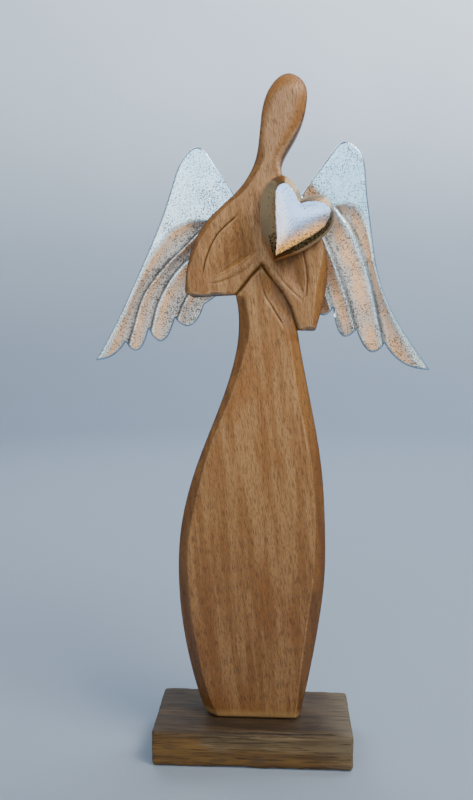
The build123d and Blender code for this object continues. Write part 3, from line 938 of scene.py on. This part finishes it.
# %% Rings of the heart
HEART_TIP, HEART_CLEFT = (7.9, 2.7), (27.4, 46.2)
HEART_LEFT = [(0.7, 20.0), (-1.4, 37.0), (2.5, 54.5), (13.5, 61.5), (22.5, 56.0)]
HEART_RIGHT = [(34.5, 47.6), (44.5, 46.0), (50.2, 36.0), (46.5, 23.5), (29.0, 10.0)]
FACE_TIP, FACE_CLEFT = (9.6, 6.6), (25.6, 42.0)
FACE_LEFT = [(10.4, 20.0), (9.6, 37.0), (9.9, 51.0), (15.5, 55.2), (21.0, 50.6)]
FACE_RIGHT = [(34.6, 43.3), (42.5, 41.5), (46.9, 36.0), (42.0, 25.5), (25.5, 14.8)]
RING_POINTS = 220
RIM, DOME = 7.0, 1.7  # mm
BACK_ROUND = [(0.9, 0.0), (0.35, 0.6), (0.1, 2.5)]  # how far inside the outline, and in front of the back
RIM_ROUND = [(0.0, 1.2), (0.12, 0.2)]  # how far inside the outline, and behind the rim's front
SLOPE_STEPS, SLOPE_BULGE = 15, 1.12


def heart_ring(tip, left, cleft, right):
    """A closed ring through these points, with the same share of its points on each side of the heart."""
    halves = []
    for side in ([tip] + left + [cleft], [cleft] + right + [tip]):
        line = curve(marks(side), 0.3)
        travelled = np.append(0, np.cumsum(np.linalg.norm(np.diff(line, axis=0), axis=1)))
        at = np.linspace(0, travelled[-1], RING_POINTS // 2 + 1)[:-1]
        halves.append(np.column_stack([np.interp(at, travelled, line[:, k]) for k in (0, 1)]))
    return np.vstack(halves)[::-1]


def heart_rings(low, high):
    """The rings from the back to the edge of the face, each with its depth."""
    outline = heart_ring(HEART_TIP, HEART_LEFT, HEART_CLEFT, HEART_RIGHT)
    face = heart_ring(FACE_TIP, FACE_LEFT, FACE_CLEFT, FACE_RIGHT)
    outline = low[[0, 2]] + (outline - outline.min(0)) * (high - low)[[0, 2]] / np.ptp(outline, axis=0)
    face_y, rim_y = low[1] + DOME, high[1] - RIM
    steps = [(inset, high[1] - ahead) for inset, ahead in BACK_ROUND]
    steps += [(inset, rim_y + behind) for inset, behind in RIM_ROUND]
    rings = [(outline + inward(outline) * inset, y) for inset, y in steps]
    for t in np.linspace(0, 1, SLOPE_STEPS + 1)[1:]:
        lift = 1 - (1 - t) ** SLOPE_BULGE
        rings.append((outline + (face - outline) * (0.02 + 0.98 * t), rim_y - (rim_y - face_y) * lift))
    return rings


print("points on a ring of the heart:", len(heart_ring(HEART_TIP, HEART_LEFT, HEART_CLEFT, HEART_RIGHT)))

# %% [markdown]
# The face's dome is the distance from its edge, eased many times over so that nothing but a soft swell is
# left. Three shades are kept: the satin of the slopes, the edge of the face at the lower right, where a gold
# reflection is painted, and the slope below it, where a dark reflection is painted.

# %% Heart
HEART_SMOOTH_BELOW = 32  # degrees
DOME_REACH, DOME_ROUNDS = 12, 24


def domed_face(edge, y):
    """The cap inside the last ring: its points, its faces, and how far each point lies from the edge."""
    points, faces, rim = triangulated(edge, 0.9, (0.4,))
    reach = nearest(points, closed(points[rim]))[0]
    bulge = DOME * (1 - (1 - np.clip(reach / DOME_REACH, 0, 1)) ** 2)
    for _ in range(DOME_ROUNDS):
        bulge = softened(bulge, faces, 1)
        bulge[rim] = 0
    return np.column_stack([points[:, 0], y - bulge, points[:, 1]]) * MM, faces, reach


def heart_shades(vertices, ring_count, count, reach):
    """The finish's shades on the points, which are the rings' first and then the face's."""
    x, _, z = np.array(vertices).T / MM
    lower_right = ease(-14, 4, (x - NAVEL[0] - 27) * 0.45 - (z - NAVEL[1] - 19))
    on_rings = ring_count * count
    first = ring_count - 1 - SLOPE_STEPS
    share = np.repeat(np.clip((np.arange(ring_count) - first) / SLOPE_STEPS, 0, 1), count)
    satin, gold_reflection, dark = np.zeros(len(vertices)), np.zeros(len(vertices)), np.zeros(len(vertices))
    satin[: on_rings - count] = 1
    # Painted gold reflection along the lower right of the face's edge.
    gold_reflection[on_rings : on_rings + len(reach)] = ease(15.0, 3.0, reach)
    # Painted dark reflection on the slopes, strongest at the lower right.
    dark[:on_rings] = ease(0.25, 0.45, share)
    dark[:on_rings] *= np.where(lower_right[:on_rings] > 0.05, 1, ease(0.7, 1.0, share))
    return {"satin": satin, "gold_reflection": gold_reflection * lower_right, "dark": dark * (0.55 + 0.45 * lower_right)}


def make_heart():
    """The casting, closed by a domed face in front and a flat one behind."""
    low, high = corners("heart")
    rings = heart_rings(low, high)
    count = RING_POINTS
    vertices = [(x * MM, y * MM, z * MM) for ring, y in rings for x, z in ring]
    faces = []
    for a in range(0, (len(rings) - 1) * count, count):
        b = a + count
        faces += [(a + k, a + (k + 1) % count, b + (k + 1) % count, b + k) for k in range(count)]
    cap, cap_faces, reach = domed_face(*rings[-1])
    back, back_faces, _ = flat_back(rings[0][0], 4.0, high[1], None)
    faces += [tuple(len(vertices) + k for k in f) for f in cap_faces]
    vertices += [tuple(point) for point in cap]
    faces += [tuple(len(vertices) + k for k in f[::-1]) for f in back_faces]
    vertices += [tuple(point) for point in back]
    made = mesh_piece("heart_cast", vertices, faces)
    keep(made, heart_shades(vertices, len(rings), count, reach))
    outward(made, seam=1e-6)
    made.data.shade_smooth()
    made.data.set_sharp_from_angle(angle=math.radians(HEART_SMOOTH_BELOW))
    return made


heart = make_heart()
fit(heart, "heart_aluminium", "heart")
print("heart", len(heart.data.vertices), "points")

# %% [markdown]
# The wheel has taken the face to a mirror, and the slopes keep a satin skin. Their colours are painted
# reflections: sky blue on the face, a warm olive from the wood on the slopes, and at the lower right a gold
# edge over a slope painted dark, which is also more pitted.

# %% Mirror-polished aluminium


def heart_metal():
    """Cast aluminium, mirror-polished on its face only."""
    material, tree = blank_finish("mirror_polished_cast_aluminium")
    pits = grain(tree, (1.1, 1.1, 1.1), roughness=0.75)  # drawn coarser than real ones, so that they show
    satin, gold_reflection, dark = kept_shades(tree, "satin", "gold_reflection", "dark")
    terms = sums(tree, {"pits": pits, "satin": satin, "gold_reflection": gold_reflection, "dark": dark}, [
        ("from dark", "MULTIPLY", "dark", 0.20),
        ("from gilt", "MULTIPLY", "gold_reflection", 0.07),
        ("more", "ADD", "from dark", "from gilt"),
        ("limit", "ADD", 0.38, "more"),
        ("level", "SUBTRACT", "pits", "limit"),
        ("full pit", "STEP", "level", 0.0, -0.07, 0.0, 1.0),
        ("pit", "MULTIPLY", "full pit", 0.85),
        ("dark gold", "MULTIPLY", "dark", 0.6),
        ("gold", "MAXIMUM", "gold_reflection", "dark gold"),
        ("pit gloss", "STEP", "pit", 0.0, 1.0, 0.0, 0.3),
        ("satin gloss", "STEP", "satin", 0.0, 1.0, 0.16, 0.30),
        ("gloss", "ADD", "pit gloss", "satin gloss"),
    ])
    # Painted reflection: the face's base is tinted sky blue.
    colour = coated(tree, "#c4d5f2", [
        # Painted reflection of the warm wood on the satin slopes.
        (satin, None, 1.0, "#bd9a70"),
        # Painted gold reflection and highlights at the lower right.
        (terms["gold"], None, 1.0, "#e0b163"),
        # Painted dark reflection on the lower right slope.
        (dark, None, 0.55, "#3a2a16", "MULTIPLY"),
        (terms["pit"], None, 1.0, "#120d07"),
    ])
    surface(tree, colour, terms["gloss"], pits, 0.6, 0.25, Metallic=1.0)
    return material


heart.data.materials.append(heart_metal())
print("heart is made of", heart.data.materials[0].name)

# %% [markdown]
# ## The block
#
# The block is a length of old, weathered timber. Its edges are worn round by hand and by weather, more in
# some places than others, its faces are not quite flat, and a drying crack runs along the front of its top.
# It starts as a box with many small faces, whose points are then pulled in towards a rounder, uneven shape.

# %% Weathered block
BLOCK_CELL, CRACK_CELL = 1.3, 0.55  # mm
CRACK_FROM_FRONT, CRACK_WIDTH, CRACK_DEPTH = 4.2, 2.0, 2.6
CRACK = [(-34.0, 0.4), (-12.0, -0.6), (6.0, 0.5), (24.0, -0.4), (44.0, 0.8), (68.0, 0.2)]
SHARPEST, WEAR = 1.0, 4.2  # mm: the smallest radius of an edge, and how much the wear adds
FACES_SINK, FIBRES_SINK = 0.55, 0.30


def sliced(shape, axis, place):
    """Cuts the faces of a mesh across one axis at this place."""
    point, normal = np.zeros(3), np.zeros(3)
    point[axis], normal[axis] = place, 1
    everything = shape.verts[:] + shape.edges[:] + shape.faces[:]
    bmesh.ops.bisect_plane(shape, geom=everything, plane_co=point, plane_no=normal)


def worn_place(place, middle, half):
    """Where a point of the box goes when it is worn, in metres, and the direction that it faces."""
    worn = noise.noise(Vector(place / 0.019)) * 0.35 + noise.noise(Vector(place / 0.006)) * 0.25 + 0.5
    radius = (SHARPEST + WEAR * worn) * MM
    core = np.clip(place - middle, radius - half, half - radius)
    out = place - middle - core
    direction = out / max(np.linalg.norm(out), 1e-9)
    if np.count_nonzero(np.abs(out) > 1e-9) > 1:
        out = direction * radius
    rough = noise.noise(Vector(place * (25, 60, 120))) * 0.5 + 0.5
    fibre = noise.noise(Vector(place * (40, 700, 700))) * 0.5 + 0.5
    sink = (FACES_SINK * rough + FIBRES_SINK * fibre) * MM
    return middle + core + out - direction * sink, direction


def make_block():
    """The box, sliced into cells, worn and cracked."""
    low, high = (np.array(corner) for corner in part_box("block"))
    middle, half = (low + high) / 2, (high - low) / 2
    shape = bmesh.new()
    bmesh.ops.create_cube(shape, size=2.0)
    for vertex in shape.verts:
        vertex.co = Vector(middle + np.array(vertex.co) * half)
    for axis in range(3):
        count = round(2 * half[axis] / (BLOCK_CELL * MM))
        for k in range(1, count):
            sliced(shape, axis, low[axis] + 2 * half[axis] * k / count)
    front = low[1] + CRACK_FROM_FRONT * MM
    for k in range(-4, 5):
        sliced(shape, 1, front + k * CRACK_CELL * MM)
    crack = curve(CRACK)
    torn = []
    for vertex in shape.verts:
        new, direction = worn_place(np.array(vertex.co), middle, half)
        x, y, _ = new / MM
        gap = abs(y - front / MM - 0.8 * np.interp(x, *crack.T))
        width = CRACK_WIDTH * ease(-38, -10, x) * (1 - ease(50, 72, x))
        opened = max(0, 1 - gap / max(width, 1e-3)) if direction[2] > 0.3 and width > 0.1 else 0
        new[2] -= CRACK_DEPTH * MM * opened
        torn.append(opened)
        vertex.co = Vector(np.clip(new, low, high))
    made = mesh_piece("block_weathered", [], [])
    shape.to_mesh(made.data)
    shape.free()
    keep(made, {"crack": torn})
    outward(made)
    made.data.shade_smooth()
    return made


block = make_block()
fit(block, "block_wood", "block")
print("block", len(block.data.vertices), "points")

# %% [markdown]
# Weathered wood is grey on top, where sun and rain reach it, and keeps its ochre where it was covered. Its
# grain runs along the block, in long thin lines that stand open, and the boundary of the two colours
# wanders with it.

# %% Weathered timber
BAND_LIMITS = (0.35, 0.65)


def weathered_wood():
    """Old planed timber, grey where it weathered and ochre where it did not; dry and matt."""
    material, tree = blank_finish("weathered_timber")
    lines = grain(tree, (26.0, 1.0, 1.0), detail=3.0, roughness=0.65)
    bands = grain(tree, (70.0, 9.0, 9.0), detail=3.0, shift=5.0)
    stains = grain(tree, (30.0, 18.0, 10.0), detail=3.0, shift=2.0)
    crack, = kept_shades(tree, "crack")
    place = add(tree, "ShaderNodeTexCoord", out="Object")
    x, _, z = add(tree, "ShaderNodeSeparateXYZ", (place,)).node.outputs
    terms = sums(tree, {"x": x, "z": z, "lines": lines, "stains": stains}, [
        ("by stains", "MULTIPLY_ADD", "stains", 0.020, -0.010),
        ("line", "SUBTRACT", "lines", 0.5),
        ("by lines", "MULTIPLY", "line", 0.014),
        ("wander", "ADD", "by stains", "by lines"),
        ("height", "ADD", "z", "wander"),
        ("across", "ADD", "x", "wander"),
        ("left", "STEP", "across", -0.030, -0.050, 0.0, 0.012),
        ("from left", "SUBTRACT", "height", "left"),
        ("low", "STEP", "from left", 0.0180, 0.0090, 0.0, 1.0),
        ("side", "STEP", "z", 0.0275, 0.0255, 0.0, 1.0),
        ("covered", "MULTIPLY", "low", "side"),
        ("gloss", "STEP", "lines", 0.3, 0.6, 0.85, 0.65),
    ])
    ochre = coated(tree, "#725426", [(bands, BAND_LIMITS, 1.0, "#4e3413")])
    colour = coated(tree, "#6c593c", [
        (bands, BAND_LIMITS, 1.0, "#4a3922"),
        (terms["covered"], None, 1.0, ochre),
        (stains, (0.56, 0.72), 0.6, "#3a2c1c"),
        (z, (0.0245, 0.0270), 0.8, "#7e6844", "MULTIPLY"),  # the top
        (x, (0.045, 0.075), 0.35, "#7d705a"),  # bleached at its right end
        (lines, (0.50, 0.34), 0.75, "#261b10"),
        # Painted shade inside the crack.
        (crack, (0.15, 0.75), 1.0, "#0d0804"),
    ])
    surface(tree, colour, terms["gloss"], lines, 0.7, 0.5, IOR=1.45)
    return material


block.data.materials.append(weathered_wood())
print("block is made of", block.data.materials[0].name)

# %% [markdown]
# ## The screws
#
# Every screw here is the same idea in another size: a shank with a thread wound round it, and a head with a
# cross recess. That is a job for one Geometry Nodes tree, which makes a screw from its sizes and sets a
# copy on each point of a mesh that marks the places. Its sums are a table, worked out from the sizes in
# order.

# %% Sums of a screw
SIZES = ("Shank", "Length", "Head", "Head height", "Countersunk", "Pitch")
HEAD_SUMS = [  # a disc that is lifted to a dome or drawn down to a cone, then sunk along the arms of a cross
    ("half", "MULTIPLY", "Head", 0.5),
    ("half shank", "MULTIPLY", "Shank", 0.5),
    ("x squared", "MULTIPLY", "x", "x"),
    ("y squared", "MULTIPLY", "y", "y"),
    ("radius squared", "ADD", "x squared", "y squared"),
    ("half squared", "MULTIPLY", "half", "half"),
    ("share", "DIVIDE", "radius squared", "half squared"),
    ("fall", "MULTIPLY", "share", 0.80),
    ("left over", "SUBTRACT", 1.0, "fall"),
    ("dome", "SQRT", "left over"),
    ("rise", "MULTIPLY", "dome", "Head height"),
    ("downwards", "SUBTRACT", "Countersunk", 1.0),
    ("domed top", "MULTIPLY", "rise", "downwards"),
    ("arm", "MULTIPLY", "Head", 0.27),
    ("slot", "MULTIPLY", "Head", 0.065),
    ("across", "ABSOLUTE", "x"),
    ("along", "ABSOLUTE", "y"),
    ("across in arm", "LESS_THAN", "across", "arm"),
    ("along in arm", "LESS_THAN", "along", "arm"),
    ("across in slot", "LESS_THAN", "across", "slot"),
    ("along in slot", "LESS_THAN", "along", "slot"),
    ("one bar", "MULTIPLY", "across in arm", "along in slot"),
    ("other bar", "MULTIPLY", "along in arm", "across in slot"),
    ("cross", "MAXIMUM", "one bar", "other bar"),
    ("recess", "MULTIPLY", "Head", 0.17),
    ("recessed", "MULTIPLY", "cross", "recess"),
    ("top", "ADD", "domed top", "recessed"),
    ("overhang", "SUBTRACT", "half", "half shank"),
    ("cone", "MULTIPLY", "overhang", "Countersunk"),
    ("through", "ADD", "z", 0.5),
    ("not through", "SUBTRACT", 1.0, "through"),
    ("underside", "MULTIPLY", "cone", "through"),
    ("upper side", "MULTIPLY", "top", "not through"),
    ("height", "ADD", "underside", "upper side"),
    ("slimness", "DIVIDE", "Shank", "Head"),
    ("excess", "SUBTRACT", 1.0, "slimness"),
    ("drawn in", "MULTIPLY", "Countersunk", "through"),
    ("narrower", "MULTIPLY", "excess", "drawn in"),
    ("girth", "SUBTRACT", 1.0, "narrower"),
    ("new x", "MULTIPLY", "x", "girth"),
    ("new y", "MULTIPLY", "y", "girth"),
]
SHANK_SUMS = [  # a core, and a thread wound round the part of it that is further from the head
    ("core", "MULTIPLY", "Shank", 0.37),
    ("middle", "MULTIPLY", "Length", 0.5),
    ("run", "MULTIPLY", "Length", 0.68),
    ("start", "MULTIPLY", "Length", 0.27),
    ("turns", "DIVIDE", "run", "Pitch"),
    ("crest", "MULTIPLY", "Pitch", 0.42),
    ("winding", "SUBTRACT", "half shank", "crest"),
]
print("sums in a screw:", len(HEAD_SUMS) + len(SHANK_SUMS))

# %% [markdown]
# The steel is zinc-plated, a bright grey with a faint cloudiness from the bath.

# %% Screw tree


def zinc_plate():
    """Zinc-plated steel, slightly clouded."""
    material, tree = blank_finish("zinc_plated_steel")
    cloud = grain(tree, (1.2, 1.2, 1.2))
    colour = coated(tree, "#b4b8bb", [(cloud, (0.35, 0.65), 1.0, "#9a9c9a")])
    terms = sums(tree, {"cloud": cloud}, [("gloss", "STEP", "cloud", 0.3, 0.7, 0.28, 0.42)])
    surface(tree, colour, terms["gloss"], Metallic=1.0)
    return material


def moved_on(tree, shape, distance):
    """The same geometry, moved this far along the screw."""
    shift = add(tree, "ShaderNodeCombineXYZ", {"Z": distance})
    return add(tree, "GeometryNodeTransform", {"Geometry": shape, "Translation": shift})


def screw_tree():
    """The tree that makes a screw from its sizes: head up at the point, shank along +Z."""
    tree = bpy.data.node_groups.new("cross_recess_screw", "GeometryNodeTree")
    sockets = [("Geometry", "Geometry")] + [(name, "Float") for name in SIZES] + [("Turn", "Vector")]
    for name, kind in sockets:
        tree.interface.new_socket(name, in_out="INPUT", socket_type=f"NodeSocket{kind}")
    tree.interface.new_socket("Geometry", in_out="OUTPUT", socket_type="NodeSocketGeometry")
    given = tree.nodes.new("NodeGroupInput").outputs
    axes = add(tree, "ShaderNodeSeparateXYZ", (add(tree, "GeometryNodeInputPosition"),)).node.outputs
    terms = dict(zip("xyz", axes)) | {name: given[name] for name in SIZES}
    sums(tree, terms, HEAD_SUMS + SHANK_SUMS)
    disc = {"Vertices": 64, "Side Segments": 3, "Fill Segments": 16, "Radius": terms["half"], "Depth": 1.0}
    blank = add(tree, "GeometryNodeMeshCylinder", disc, fill_type="TRIANGLE_FAN")
    formed = add(tree, "ShaderNodeCombineXYZ", (terms["new x"], terms["new y"], terms["height"]))
    head = add(tree, "GeometryNodeSetPosition", {"Geometry": blank, "Position": formed})
    core = {"Vertices": 24, "Side Segments": 8, "Radius": terms["core"], "Depth": given["Length"]}
    rod = moved_on(tree, add(tree, "GeometryNodeMeshCylinder", core), terms["middle"])
    winding = {"Start Radius": terms["winding"], "End Radius": terms["winding"], "Height": terms["run"]}
    helix = add(tree, "GeometryNodeCurveSpiral", {"Resolution": 20, "Rotations": terms["turns"], **winding})
    profile = {"Resolution": 3, "Radius": terms["crest"]}
    wire = add(tree, "GeometryNodeCurvePrimitiveCircle", profile, mode="RADIUS")
    thread = add(tree, "GeometryNodeCurveToMesh", {"Curve": helix, "Profile Curve": wire, "Fill Caps": True})
    thread = moved_on(tree, thread, terms["start"])
    joined = add(tree, "GeometryNodeJoinGeometry")
    for part in (head, rod, thread):
        tree.links.new(part, joined.node.inputs[0])
    turn = add(tree, "FunctionNodeEulerToRotation", (given["Turn"],))
    placing = {"Points": given["Geometry"], "Instance": joined, "Rotation": turn}
    real = add(tree, "GeometryNodeRealizeInstances", (add(tree, "GeometryNodeInstanceOnPoints", placing),))
    done = add(tree, "GeometryNodeSetMaterial", {"Geometry": real, "Material": zinc})
    add(tree, "NodeGroupOutput", {"Geometry": done})
    return tree


zinc = zinc_plate()
tree = screw_tree()
inputs = {item.name: item.identifier for item in tree.interface.items_tree if item.in_out == "INPUT"}
print("screw inputs", list(inputs))

# %% [markdown]
# The wing screws and the heart's screw go in from behind, and the block's from below. A head sits at the
# middle of its measured node, seen along the screw.

# %% Screws in their holes
FROM_BEHIND, FROM_BELOW = (math.radians(90), 0.0, 0.0), (0.0, 0.0, 0.0)
SCREW_SMOOTH_BELOW = 35  # degrees


def set_screws(name, places, turn, **sizes):
    """One mesh that stands for these nodes, with a screw at the place of each, in millimetres."""
    markers = mesh_piece(f"{name}_places", [np.array(place) * MM for place in places.values()], [])
    modifier = markers.modifiers.new("screws", "NODES")
    modifier.node_group = tree
    for key, value in sizes.items():
        label = key.replace("_", " ").capitalize()
        modifier[inputs[label]] = float(value if key == "countersunk" else value * MM)
    modifier[inputs["Turn"]] = turn
    mesh = bpy.data.meshes.new_from_object(markers.evaluated_get(bpy.context.evaluated_depsgraph_get()))
    bpy.data.objects.remove(markers)
    made = bpy.data.objects.new(name, mesh)
    bpy.context.collection.objects.link(made)
    mesh.shade_smooth()
    mesh.set_sharp_from_angle(angle=math.radians(SCREW_SMOOTH_BELOW))
    fit(made, "zinc_steel", *places)
    print(name, len(mesh.vertices), "points")


def head_place(node, y=None, z=None):
    """The middle of a node's box, but at this depth or height."""
    middle = sum(corners(node)) / 2
    return middle[0], middle[1] if y is None else y, middle[2] if z is None else z


ends = ("left_inner", "left_outer", "right_inner", "right_outer")
wing_back, washer_back = corners("wing_left")[1][1], corners("heart_washer")[1][1]
wing_places = {f"wing_screw_{end}": head_place(f"wing_screw_{end}", y=wing_back) for end in ends}
heart_places = {"heart_screw": head_place("heart_screw", y=washer_back)}
block_nodes = ("block_screw_left", "block_screw_right")
block_places = {node: head_place(node, z=corners(node)[0][2]) for node in block_nodes}
set_screws("wing_screws", wing_places, FROM_BEHIND,
           shank=4.0, length=20.0, head=8.0, head_height=2.8, countersunk=0, pitch=1.4)
set_screws("heart_screw_threaded", heart_places, FROM_BEHIND,
           shank=5.0, length=30.0, head=9.5, head_height=3.4, countersunk=0, pitch=0.9)
set_screws("block_screws", block_places, FROM_BELOW,
           shank=5.0, length=55.0, head=10.0, head_height=0.0, countersunk=1, pitch=1.8)

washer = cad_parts["heart_washer"]
washer.data.materials.clear()
washer.data.materials.append(zinc)

# %% [markdown]
# The paper is matt and pale, with a hint of blue. Its colour grades lighter towards the top, which is painted
# light: it keeps the floor quiet and lifts the wall behind the wings.

# %% Paper


def paper():
    """Uncoated seamless paper: matt, with no visible texture at this distance."""
    material, tree = blank_finish("seamless_paper")
    mottle = grain(tree, (300.0, 300.0, 300.0))
    place = add(tree, "ShaderNodeTexCoord", out="Object")
    height = add(tree, "ShaderNodeSeparateXYZ", (place,), out="Z")
    colour = coated(tree, "#8793a3", [
        # Painted light: lighter towards the top.
        (height, (0.0, 1.1), 1.0, "#d6dfe8"),
        (mottle, (0.3, 0.7), 0.08, "#8f99a6"),
    ])
    terms = sums(tree, {"mottle": mottle}, [("gloss", "STEP", "mottle", 0.3, 0.7, 0.90, 0.95)])
    surface(tree, colour, terms["gloss"], IOR=1.45)
    return material


sweep.data.materials.append(paper())
print("sweep is made of", sweep.data.materials[0].name)
